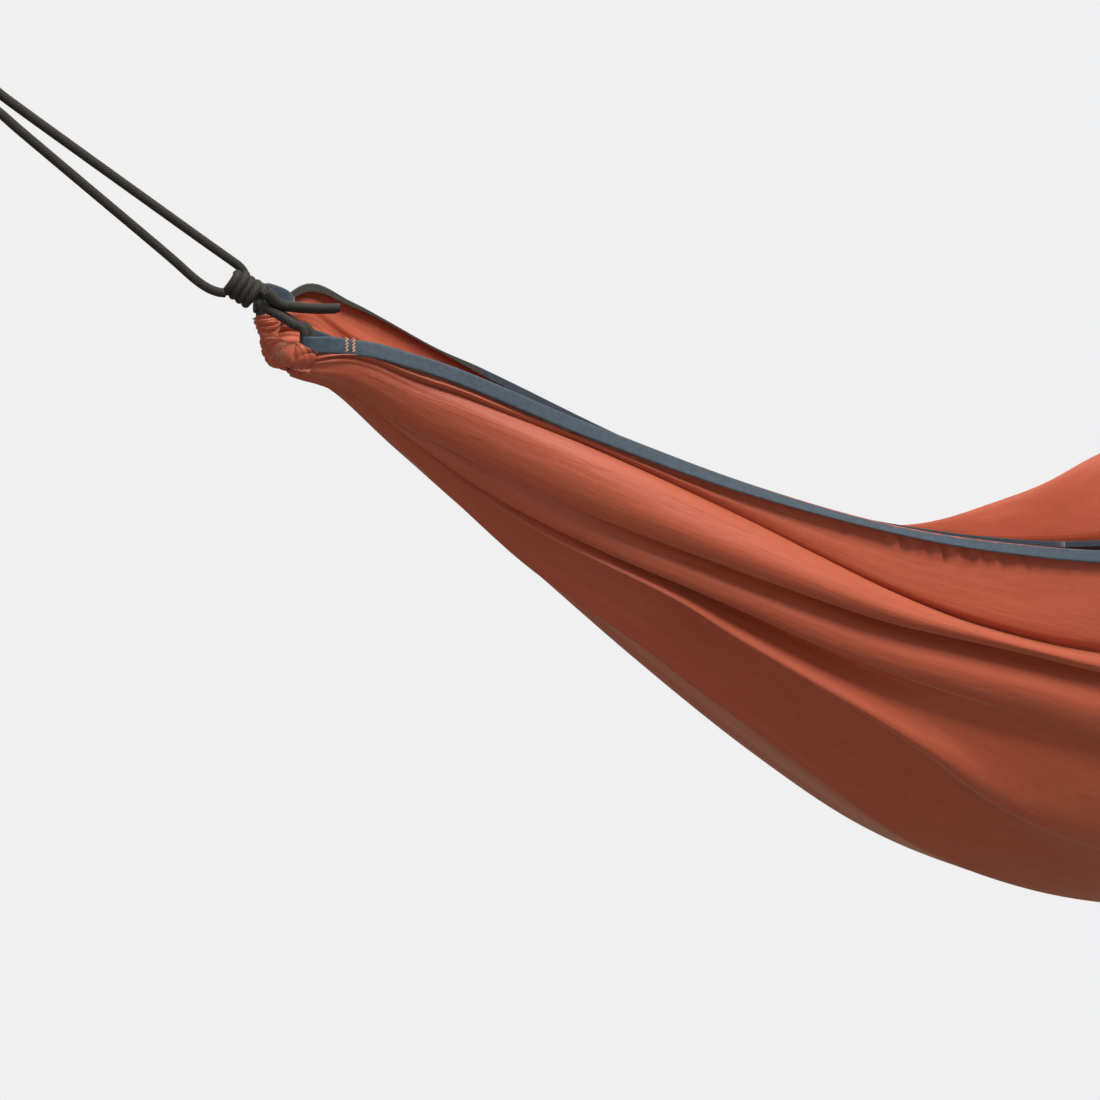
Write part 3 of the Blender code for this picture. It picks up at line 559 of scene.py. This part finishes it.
def fold_places(distance):
    """Shares and offsets of the section's places at each distance: two arrays, places by distances."""
    lines = {name: along_stations(LINE_PLACES, row, distance) for name, row in LINES.items()}
    depth = height(NEAR_EDGE, distance) - height(BOTTOM, distance)
    drop = np.clip(TAPE_WIDTH / depth, 0.0, 0.9)
    lines["tape"] = np.minimum(np.arcsin(drop**(1 / WALL_FULLNESS)) / np.pi, lines["crest"] * 0.45)
    lines["under"] = np.full_like(distance, 0.5)
    shares, offsets = [], []
    for first, part, second, row in SECTION:
        if first == "far":
            shares.append(np.full_like(distance, part))
        elif first == second:
            shares.append(lines[first] * part)
        else:
            shares.append(lines[first] + (lines[second] - lines[first]) * part)
        offsets.append(along_stations(OUT_PLACES, row, distance) / 1000)
    return np.array(shares), np.array(offsets)


def spline_across(values, per_span):
    """Catmull-Rom interpolation down the first axis."""
    padded = np.concatenate([values[:1] * 2 - values[1:2], values, values[-1:] * 2 - values[-2:-1]])
    rows = []
    for k in range(len(values) - 1):
        a, b, c, d = padded[k:k + 4]
        for i in range(per_span):
            t = i / per_span
            rows.append(0.5 * (2 * b + (c - a) * t + (2 * a - 5 * b + 4 * c - d) * t * t
                               + (3 * b - a - 3 * c + d) * t**3))
    return np.array(rows + [values[-1]])


LAPEL_CENTRE_X = 1.700
LAPEL_HALF_LENGTH = 0.530
LAPEL_HEIGHT = 0.135
LAPEL_FOLD_IN = 0.042


def lapel_share(x):
    """From 0, no lapel, to 1 at the lapel's highest place."""
    reach = np.clip(np.abs(x - LAPEL_CENTRE_X) / LAPEL_HALF_LENGTH, 0, 1)
    return np.cos(np.pi / 2 * reach)**1.7


def gather_pleats(distance, share):
    """Fine pleats that fan out of the gather and die away along the bed, in metres."""
    depth = 0.0026 * np.exp(-((distance - 0.012) / 0.10))
    warp = 0.55 * np.sin(7.0 * share + 11.0 * distance) + 0.35 * np.sin(23.0 * share - 6.0 * distance)
    narrow = np.sin(2 * np.pi * (24.0 * share + warp))
    wide = np.sin(2 * np.pi * (9.0 * share + 0.6 * warp + 0.2))
    broad = 0.0016 * np.exp(-((distance - 0.10) / 0.16)**2)
    return depth * (0.65 * narrow + 0.35 * np.abs(narrow)) + broad * wide


def edge_ruffles(distance, share, seed):
    """Small scallops where the fabric is eased on to the straight tape."""
    close = np.exp(-((share - 0.0075) / 0.006)**2) + 0.6 * np.exp(-((share - 0.985) / 0.010)**2)
    mix = (np.sin(distance * 290 + seed) + 0.8 * np.sin(distance * 417 + 1.3 * seed)
           + 0.6 * np.sin(distance * 187 + 2.1 * seed))
    patch = (0.25 + 1.2 * np.exp(-((distance - 0.60) / 0.08)**2)
             + 0.6 * np.exp(-((distance - 0.27) / 0.04)**2))
    return 0.0015 * close * mix * patch


def ease(share):
    """A smooth step from 0 to 1."""
    t = np.clip(share, 0.0, 1.0)
    return t * t * (3 - 2 * t)


BELLY_PLACES = (0.012, 0.10, 0.20, 0.35, 0.55, 0.80, HALF_LENGTH)
BELLY = (0.0, 0.001, 0.004, 0.012, 0.021, 0.018, 0.014)


def slack(distance, share):
    """How far the near wall's slack stands out below the taut edge, and the gather round its hem."""
    belly = along_stations(BELLY_PLACES, BELLY, distance)
    bundle = 0.009 * np.exp(-((distance - 0.014) / 0.045)**2)
    bundle = bundle * ease(share / 0.10) * ease((1 - share) / 0.15)
    return belly * ease((share - 0.006) / 0.10) * (1 - ease((share - 0.14) / 0.22)) + bundle


def half_bed(distance, right):
    """Points of one half of the bed: distances by places across, without the lapel."""
    shares, offsets = fold_places(distance)
    if right:
        offsets = offsets * 0.88
    shares = spline_across(shares, 7).T
    offsets = spline_across(offsets, 7).T
    grid = np.repeat(distance[:, None], shares.shape[1], axis=1)
    cloth = np.linspace(0.0, 1.0, shares.shape[1])[None, :] * np.ones_like(grid)
    offsets = offsets + gather_pleats(grid + (0.03 if right else 0.0), cloth)
    offsets = offsets + edge_ruffles(grid, shares, 4.0 if right else 0.0) + slack(grid, shares)
    middle = wall_points(grid, shares * np.pi)
    ahead = wall_points(grid, np.clip(shares * np.pi + 0.01, 0, np.pi))
    behind = wall_points(grid, np.clip(shares * np.pi - 0.01, 0, np.pi))
    tangent = ahead - behind
    normal = np.stack([np.zeros_like(grid), tangent[..., 2], -tangent[..., 1]], axis=-1)
    normal /= np.maximum(np.linalg.norm(normal, axis=-1, keepdims=True), 1e-9)
    points = middle + normal * offsets[..., None]
    if right:
        points[..., 0] = ANCHOR_SPAN - points[..., 0]
    return points


# Plain-woven polyester taffeta: tight, slightly lustrous yarn. The eye sees a soft sheen on the
# crowns, a faint run of threads across the rolls, and fine creases. The threads are 0.3 mm apart,
# drawn 1.5 mm apart, as fine as can show.
WAVE_SCALE_FOR_A_METRE = 0.314
THREAD_SPACING = 0.0015
fabric, tree, shader = new_finish("woven_polyester_taffeta")
thread_scale = WAVE_SCALE_FOR_A_METRE / THREAD_SPACING
place = add_node(tree, "ShaderNodeUVMap", uv_map="UVMap")
yarns = {"Vector": place.outputs[0], "Scale": thread_scale, "Distortion": 1.2, "Detail": 2.0,
         "Detail Scale": 1.5}
weft = add_node(tree, "ShaderNodeTexWave", yarns, bands_direction="X")
warp = add_node(tree, "ShaderNodeTexWave", yarns, bands_direction="Y")
threads = add_node(tree, "ShaderNodeMath", {0: weft.outputs["Fac"], 1: warp.outputs["Fac"]},
                   operation="ADD")
stretch = add_node(tree, "ShaderNodeMapping", {"Vector": place.outputs[0], "Scale": (9.0, 90.0, 1.0)})
streaks = add_node(tree, "ShaderNodeTexNoise", {"Vector": stretch.outputs[0], "Scale": 1.0, "Detail": 4.0,
                                                "Roughness": 0.55})
slubs = add_node(tree, "ShaderNodeMapping", {"Vector": place.outputs[0], "Scale": (900.0, 22.0, 1.0)})
weft_runs = add_node(tree, "ShaderNodeTexNoise", {"Vector": slubs.outputs[0], "Scale": 1.0, "Detail": 2.0})
slanting = add_node(tree, "ShaderNodeMapping", {"Vector": place.outputs[0], "Scale": (16.0, 95.0, 1.0),
                                                "Rotation": (0.0, 0.0, math.radians(62.0))})
creases = add_node(tree, "ShaderNodeTexNoise", {"Vector": slanting.outputs[0], "Scale": 1.0, "Detail": 3.0,
                                                "Roughness": 0.55, "Distortion": 0.5})
tone = add_node(tree, "ShaderNodeMath", {0: weft_runs.outputs["Fac"], 1: 0.4, 2: streaks.outputs["Fac"]},
                operation="MULTIPLY_ADD")
ramp = add_node(tree, "ShaderNodeValToRGB", {0: tone.outputs[0]})
ramp.color_ramp.elements[0].position = 0.45
ramp.color_ramp.elements[0].color = linear("#A84A2F")
ramp.color_ramp.elements[1].position = 0.95
ramp.color_ramp.elements[1].color = linear("#B4563A")
tree.links.new(ramp.outputs[0], shader.inputs["Base Color"])
soft = add_node(tree, "ShaderNodeBump", {"Height": creases.outputs["Fac"], "Strength": 0.22,
                                         "Distance": 0.004})
weave = add_node(tree, "ShaderNodeBump", {"Height": threads.outputs[0], "Strength": 0.22,
                                          "Distance": 0.0002, "Normal": soft.outputs[0]})
tree.links.new(weave.outputs[0], shader.inputs["Normal"])
shader.inputs["Roughness"].default_value = 0.52
shader.inputs["Sheen Weight"].default_value = 0.28
shader.inputs["Sheen Roughness"].default_value = 0.45
shader.inputs["Sheen Tint"].default_value = linear("#FFDFB4")

FIRST_ROW = 0.014
ROWS_TO_MIDDLE = 230
stations = FIRST_ROW + (HALF_LENGTH - FIRST_ROW) * (np.arange(ROWS_TO_MIDDLE + 1) / ROWS_TO_MIDDLE)**1.45
left_half = half_bed(stations, False)
right_half = half_bed(stations, True)[::-1]
both_halves = np.concatenate([left_half, right_half[1:]])
# the lapel: slack fabric that stands up from the far edge and folds over into the bed
far_edge = both_halves[:, -1]
rise = lapel_share(far_edge[:, 0])[:, None]
turn = (np.arange(1, 19) / 18 * np.pi)[None, :]
flare = 1.0 + 0.05 * np.sin(far_edge[:, :1] * 21.0) * rise
reach = LAPEL_FOLD_IN / 2 * rise + 0.002
ripple = 0.004 * rise * np.sin(far_edge[:, :1] * 33 + turn)
lapel = np.stack([far_edge[:, :1] + 0 * turn,
                  far_edge[:, 1:2] - reach * (1 - np.cos(turn)) + ripple,
                  far_edge[:, 2:3] + (LAPEL_HEIGHT * rise * flare + 0.003) * np.sin(turn)], axis=-1)
bed_rows = [list(map(Vector, row)) for row in np.concatenate([both_halves, lapel], axis=1)]
bed = skin("bed_fabric", bed_rows, fabric, wide=CUT_WIDTH)
thick = bed.modifiers.new("cloth_thickness", "SOLIDIFY")
thick.thickness = CLOTH_THICKNESS
thick.offset = 0.0
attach(bed, "bed")
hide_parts("bed_panel")


# ---------------------------------------------------------------------------------------------
# End channels: the hem at each end, folded back and sewn as a tunnel, pushed together on the
# cinch ropes so that it stands in tight rings of pleats. Same taffeta as the bed.
# ---------------------------------------------------------------------------------------------
HEM_RADIUS = 0.0086
HEM_THICKNESS = 0.0006


def scrunched_rows(right):
    """Rings of the scrunched tunnel, fuller between the pleats' creases."""
    line = mirrored(smooth_route([tuple(p) for p in hem_line()], 16), right)
    last = len(line) - 1
    run = [0.0]
    for a, b in zip(line, line[1:]):
        run.append(run[-1] + (b - a).length)
    rows = []
    sides = 56
    across = Vector((1.0, 0.0, 0.0))
    for i, p in enumerate(line):
        ahead = (line[min(i + 1, last)] - line[max(i - 1, 0)]).normalized()
        u = (across - ahead * across.dot(ahead)).normalized()
        v = ahead.cross(u)
        share = run[i] / run[-1]
        row = []
        for k in range(sides):
            t = 2 * math.pi * k / sides
            swirl = 0.9 * math.sin(t + 4 * share) + 0.5 * math.sin(2 * t - 9 * share)
            spread = share + 0.018 * math.sin(19 * share + 1.0) + 0.010 * math.sin(43 * share)
            pleat = abs(math.sin(math.pi * 13 * spread + swirl * 1.3))**0.45
            small = abs(math.sin(math.pi * 31 * spread - swirl * 2.0 + t))**0.6
            lumps = noise.noise(p * 70 + Vector((math.cos(t), math.sin(t), 0.0)) * 0.9)
            lobes = 0.0014 * math.cos(2 * math.pi * (2.2 * share - 0.25))
            radius = HEM_RADIUS + 0.0020 * pleat + 0.0008 * small + 0.0022 * lumps + lobes
            row.append(p + (u * math.cos(t) + v * math.sin(t)) * radius)
        rows.append(row)
    return rows


for end, right in ENDS:
    hem = skin(f"{end}_scrunched_hem", scrunched_rows(right), fabric, closed=True, wide=0.075)
    thick = hem.modifiers.new("cloth_thickness", "SOLIDIFY")
    thick.thickness = HEM_THICKNESS
    thick.offset = -1.0
    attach(hem, "bed")
    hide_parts(f"{end}_end_channel")


# ---------------------------------------------------------------------------------------------
# Edge tapes: steel-blue polyester webbing, 14.5 mm wide, sewn along both long edges. At each
# corner it turns round the cinch rope and back on itself as a loop. Woven in a narrow loom.
# ---------------------------------------------------------------------------------------------
EDGES = (("near", -1), ("far", 1))
RIB_SPACING = 0.0012
YARN_SPACING = 0.0016


# Woven polyester webbing: matt, dyed yarn with fine ribs across and slight blotches of dye. Its
# 0.6 mm ribs are drawn 1.2 mm apart, so that they show.
def woven_tape(name, base, pale):
    """The webbing's finish: fine ribs across the tape, yarns along it, and a mottled tone."""
    material, tree, shader = new_finish(name)
    place = add_node(tree, "ShaderNodeUVMap", uv_map="UVMap")
    rib_scale, yarn_scale = WAVE_SCALE_FOR_A_METRE / RIB_SPACING, WAVE_SCALE_FOR_A_METRE / YARN_SPACING
    ribs = add_node(tree, "ShaderNodeTexWave", {"Vector": place.outputs[0], "Scale": rib_scale,
                                                "Distortion": 0.6, "Detail": 1.0}, bands_direction="X")
    yarns = add_node(tree, "ShaderNodeTexWave", {"Vector": place.outputs[0], "Scale": yarn_scale,
                                                 "Distortion": 0.4, "Detail": 1.0}, bands_direction="Y")
    cloth = add_node(tree, "ShaderNodeMath", {0: ribs.outputs["Fac"], 1: yarns.outputs["Fac"]},
                     operation="MULTIPLY")
    where = add_node(tree, "ShaderNodeTexCoord")
    blotch = add_node(tree, "ShaderNodeTexNoise", {"Vector": where.outputs["Object"], "Scale": 240.0,
                                                   "Detail": 3.0})
    tone = add_node(tree, "ShaderNodeMath", {0: cloth.outputs[0], 1: 0.25, 2: blotch.outputs["Fac"]},
                    operation="MULTIPLY_ADD")
    ramp = add_node(tree, "ShaderNodeValToRGB", {0: tone.outputs[0]})
    ramp.color_ramp.elements[0].position = 0.35
    ramp.color_ramp.elements[0].color = linear(base)
    ramp.color_ramp.elements[1].position = 0.95
    ramp.color_ramp.elements[1].color = linear(pale)
    relief = add_node(tree, "ShaderNodeBump", {"Height": cloth.outputs[0], "Strength": 0.35,
                                               "Distance": 0.0002})
    tree.links.new(ramp.outputs[0], shader.inputs["Base Color"])
    tree.links.new(relief.outputs[0], shader.inputs["Normal"])
    shader.inputs["Roughness"].default_value = 0.66
    shader.inputs["Sheen Weight"].default_value = 0.25
    return material


blue_webbing = woven_tape("woven_polyester_webbing", "#1C2D3B", "#2F4657")
TAPE_AFTER_LOOP = 0.052
TAPE_TILT_PLACES = (0.0, 0.20, 0.30, 0.42, 0.52, 0.62, 0.77, 1.0, HALF_LENGTH)
TAPE_TILT = (16.0, 14.0, 22.0, 42.0, 52.0, 46.0, 34.0, 26.0, 22.0)


def tape_loop(side, right_half):
    """The tape's end loop round the cinch rope, from the bar-tack's inner layer to its outer one."""
    mouth = HEM_NEAR_MOUTH if side < 0 else HEM_FAR_MOUTH
    bend = ROPE_DIAMETER + 6 * CLEARANCE + TAPE_THICKNESS / 2
    middle = mouth.z + TAPE_WIDTH / 2 + LOOP_ABOVE_HEM
    drop = 0.0065 if side < 0 else 0.0
    centre = Vector((mouth.x + 0.3 * drop, mouth.y, middle - drop))
    raised = 0.0100
    loop = [centre + Vector((0.026, -side * bend * 0.2, 0.001)),
            centre + Vector((0.016, -side * bend * 0.85, 0.6 * raised))]
    for i in range(7):
        turn = math.pi * i / 6
        up = raised * (0.5 + 0.5 * math.cos(turn))**3
        loop.append(centre + Vector((-bend * math.sin(turn), -side * bend * math.cos(turn), up)))
    loop.append(centre + Vector((0.016, side * (bend + 0.003), 0.001)))
    return mirrored(loop, right_half)


def tape_line(side, right_half, first):
    """Centre points and tilts along one edge, from the gather to the middle."""
    points, tilts = [], []
    for i in range(61):
        distance = first + (HALF_LENGTH - first) * (i / 60)**1.2
        p = wall_points(np.array(distance), np.array(0.0 if side < 0 else math.pi))
        tilt = math.radians(float(along_stations(TAPE_TILT_PLACES, TAPE_TILT, distance)))
        x = ANCHOR_SPAN - p[0] if right_half else p[0]
        outward = 0.0039 + 0.0025 * math.exp(-distance / 0.12)
        inward = float(lapel_share(x)) * (LAPEL_FOLD_IN + 0.006) if side > 0 else 0.0
        points.append(Vector((x, p[1] + side * outward - inward, p[2] - TAPE_WIDTH / 2 * math.cos(tilt))))
        tilts.append(tilt)
    return points, tilts


def ribbon_rows(line, tilts, side, widths=None):
    """Closed sections of the tape: a flat band with rounded selvedges."""
    rows = []
    half_t = TAPE_THICKNESS / 2
    for i, p in enumerate(line):
        half_w = (widths[i] if widths else TAPE_WIDTH) / 2
        ahead = (line[min(i + 1, len(line) - 1)] - line[max(i - 1, 0)])
        ahead.z = 0.0
        ahead.normalize()
        flat = Vector((0.0, 0.0, 1.0)).cross(ahead).normalized()
        lean = math.copysign(1.0, -side * flat.y) if abs(flat.y) > 0.2 else 1.0
        up = Vector((0.0, 0.0, math.cos(tilts[i]))) + flat * lean * math.sin(tilts[i])
        out = ahead.cross(up).normalized()
        row = []
        for face in (1, -1):
            for k in range(11):
                rounding = 0.45 if k in (0, 10) else 1.0
                row.append(p + up * (face * half_w * (1 - 2 * k / 10)) + out * (face * half_t) * rounding)
        rows.append(row)
    return rows


for name, side in EDGES:
    whole, leans = [], []
    for right in (False, True):
        loop = smooth_route(tape_loop(side, right), 5)
        points, tilts = tape_line(side, right, TAPE_AFTER_LOOP)
        joined = loop[:-1] + points
        lean = [0.0] * (len(joined) - len(points)) + tilts
        if right:
            joined, lean = list(reversed(joined))[1:], list(reversed(lean))[1:]
        whole += joined
        leans += lean
    rows = ribbon_rows(whole, leans, side)
    tape = skin(f"{name}_webbing_tape", rows, blue_webbing, True, True, 2 * TAPE_WIDTH)
    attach(tape, "bed")
    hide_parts(f"{name}_edge_tape")


# The tape is folded over the fabric's edge, so a narrower strip of it shows on the bed's inside.
# Near the corners the strip is drawn charcoal: painted shade where the tape's inside lies in shadow.
painted_shade_webbing = woven_tape("webbing_painted_shade", "#23221F", "#3B3934")
INSIDE_PLACES = (0.012, 0.06, 0.10, 0.13, 0.17, 0.21, 0.25, 0.30, 0.40, 0.55, 0.80, HALF_LENGTH)
INSIDE_WIDTH = (0.0070, 0.0080, 0.0050, 0.0030, 0.0022, 0.0030,
                0.0070, 0.0090, 0.0090, 0.0085, 0.0080, 0.0080)
PAINTED_SHADE_END, INSIDE_START = 0.262, 0.258


def inside_strip(name, side, right, first, last, material):
    """The tape's part on the bed's inside, between two distances from the gather."""
    points, widths = [], []
    for i in range(41):
        distance = first + (last - first) * i / 40
        p = wall_points(np.array(distance), np.array(0.0 if side < 0 else math.pi))
        width = float(along_stations(INSIDE_PLACES, INSIDE_WIDTH, distance))
        x = ANCHOR_SPAN - p[0] if right else p[0]
        inward = float(lapel_share(x)) * (LAPEL_FOLD_IN + 0.002) if side > 0 else 0.0
        centre_z = p[2] + (0.2 if side > 0 else -0.5) * width
        points.append(Vector((x, p[1] - side * 0.0048 - inward, centre_z)))
        widths.append(width)
    rows = ribbon_rows(points, [0.0] * len(points), side, widths)
    strip = skin(name, rows, material, True, True, 2 * TAPE_WIDTH)
    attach(strip, "bed")
    return strip


for end, right in ENDS:
    for name, side in EDGES:
        # the charcoal strips near the corners are painted shade; the blue ones beyond are the tape's own
        # colour
        inside_strip(f"{name}_{end}_tape_painted_shade", side, right, FIRST_ROW, PAINTED_SHADE_END,
                                  painted_shade_webbing)
        inside_strip(f"{name}_{end}_tape_inside", side, right, INSIDE_START, HALF_LENGTH,
                                  blue_webbing)


# ---------------------------------------------------------------------------------------------
# Bar-tacks: two short rows of close zigzag stitches in bonded orange polyester thread, which
# close each tape loop. Each stitch stands a little proud of the webbing.
# ---------------------------------------------------------------------------------------------
THREAD_RADIUS = 0.00045
STITCH_HALF_WIDTH = 0.0011
STITCHES_IN_A_ROW = 9
TACK_SHIFT = 0.019
thread, tree, shader = new_finish("bonded_polyester_thread")
where = add_node(tree, "ShaderNodeTexCoord")
twist = add_node(tree, "ShaderNodeTexNoise", {"Vector": where.outputs["Object"], "Scale": 1500.0,
                                              "Detail": 2.0})
ramp = add_node(tree, "ShaderNodeValToRGB", {0: twist.outputs["Fac"]})
ramp.color_ramp.elements[0].color = linear("#C9754A")
ramp.color_ramp.elements[1].color = linear("#F0C3A2")
tree.links.new(ramp.outputs[0], shader.inputs["Base Color"])
shader.inputs["Roughness"].default_value = 0.45
shader.inputs["Sheen Weight"].default_value = 0.3

for end, right in ENDS:
    for name, side in EDGES:
        low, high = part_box(f"{name}_{end}_bartack")
        face = low.y if side < 0 else high.y
        for place, label in ((0.28, "stitch"), (0.78, "stitch_two")):
            x = low.x + (high.x - low.x) * place + (TACK_SHIFT if right else -TACK_SHIFT)
            stitches = []
            for i in range(STITCHES_IN_A_ROW):
                z = low.z + (high.z - low.z) * (0.10 + 0.80 * i / (STITCHES_IN_A_ROW - 1))
                step = STITCH_HALF_WIDTH if i % 2 else -STITCH_HALF_WIDTH
                stitches.append((x + step, face - side * 0.0006, z))
            rings = tube_rows(smooth_route(stitches, 4), THREAD_RADIUS, 8)
            tack = skin(f"{name}_{end}_zigzag_{label}", rings, thread, True, True)
            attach(tack, "bed")
        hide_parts(f"{name}_{end}_bartack")


# ---------------------------------------------------------------------------------------------
# Snap hooks: 6 mm steel bar bent cold, zinc plated and passivated, which gives a cool grey with a
# soft mottle. Gate, pin and spring are plated alike. The frame's own solids are kept as they are.
# ---------------------------------------------------------------------------------------------
steel, tree, shader = new_finish("zinc_plated_steel")
where = add_node(tree, "ShaderNodeTexCoord")
mottle = add_node(tree, "ShaderNodeTexNoise", {"Vector": where.outputs["Object"], "Scale": 320.0,
                                               "Detail": 4.0})
ramp = add_node(tree, "ShaderNodeValToRGB", {0: mottle.outputs["Fac"]})
ramp.color_ramp.elements[0].position = 0.3
ramp.color_ramp.elements[0].color = linear("#A9ACAF")
ramp.color_ramp.elements[1].position = 0.7
ramp.color_ramp.elements[1].color = linear("#C9CCCF")
dull = add_node(tree, "ShaderNodeMapRange", {"Value": mottle.outputs["Fac"], "To Min": 0.24,
                                             "To Max": 0.40})
grain = add_node(tree, "ShaderNodeBump", {"Height": mottle.outputs["Fac"], "Strength": 0.08,
                                          "Distance": 0.0002})
tree.links.new(ramp.outputs[0], shader.inputs["Base Color"])
tree.links.new(dull.outputs[0], shader.inputs["Roughness"])
tree.links.new(grain.outputs[0], shader.inputs["Normal"])
shader.inputs["Metallic"].default_value = 1.0
for end in ("left", "right"):
    for part in ("hook", "gate", "gate_pin", "gate_spring"):
        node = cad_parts[f"{end}_{part}"]
        node.data.materials.clear()
        node.data.materials.append(steel)
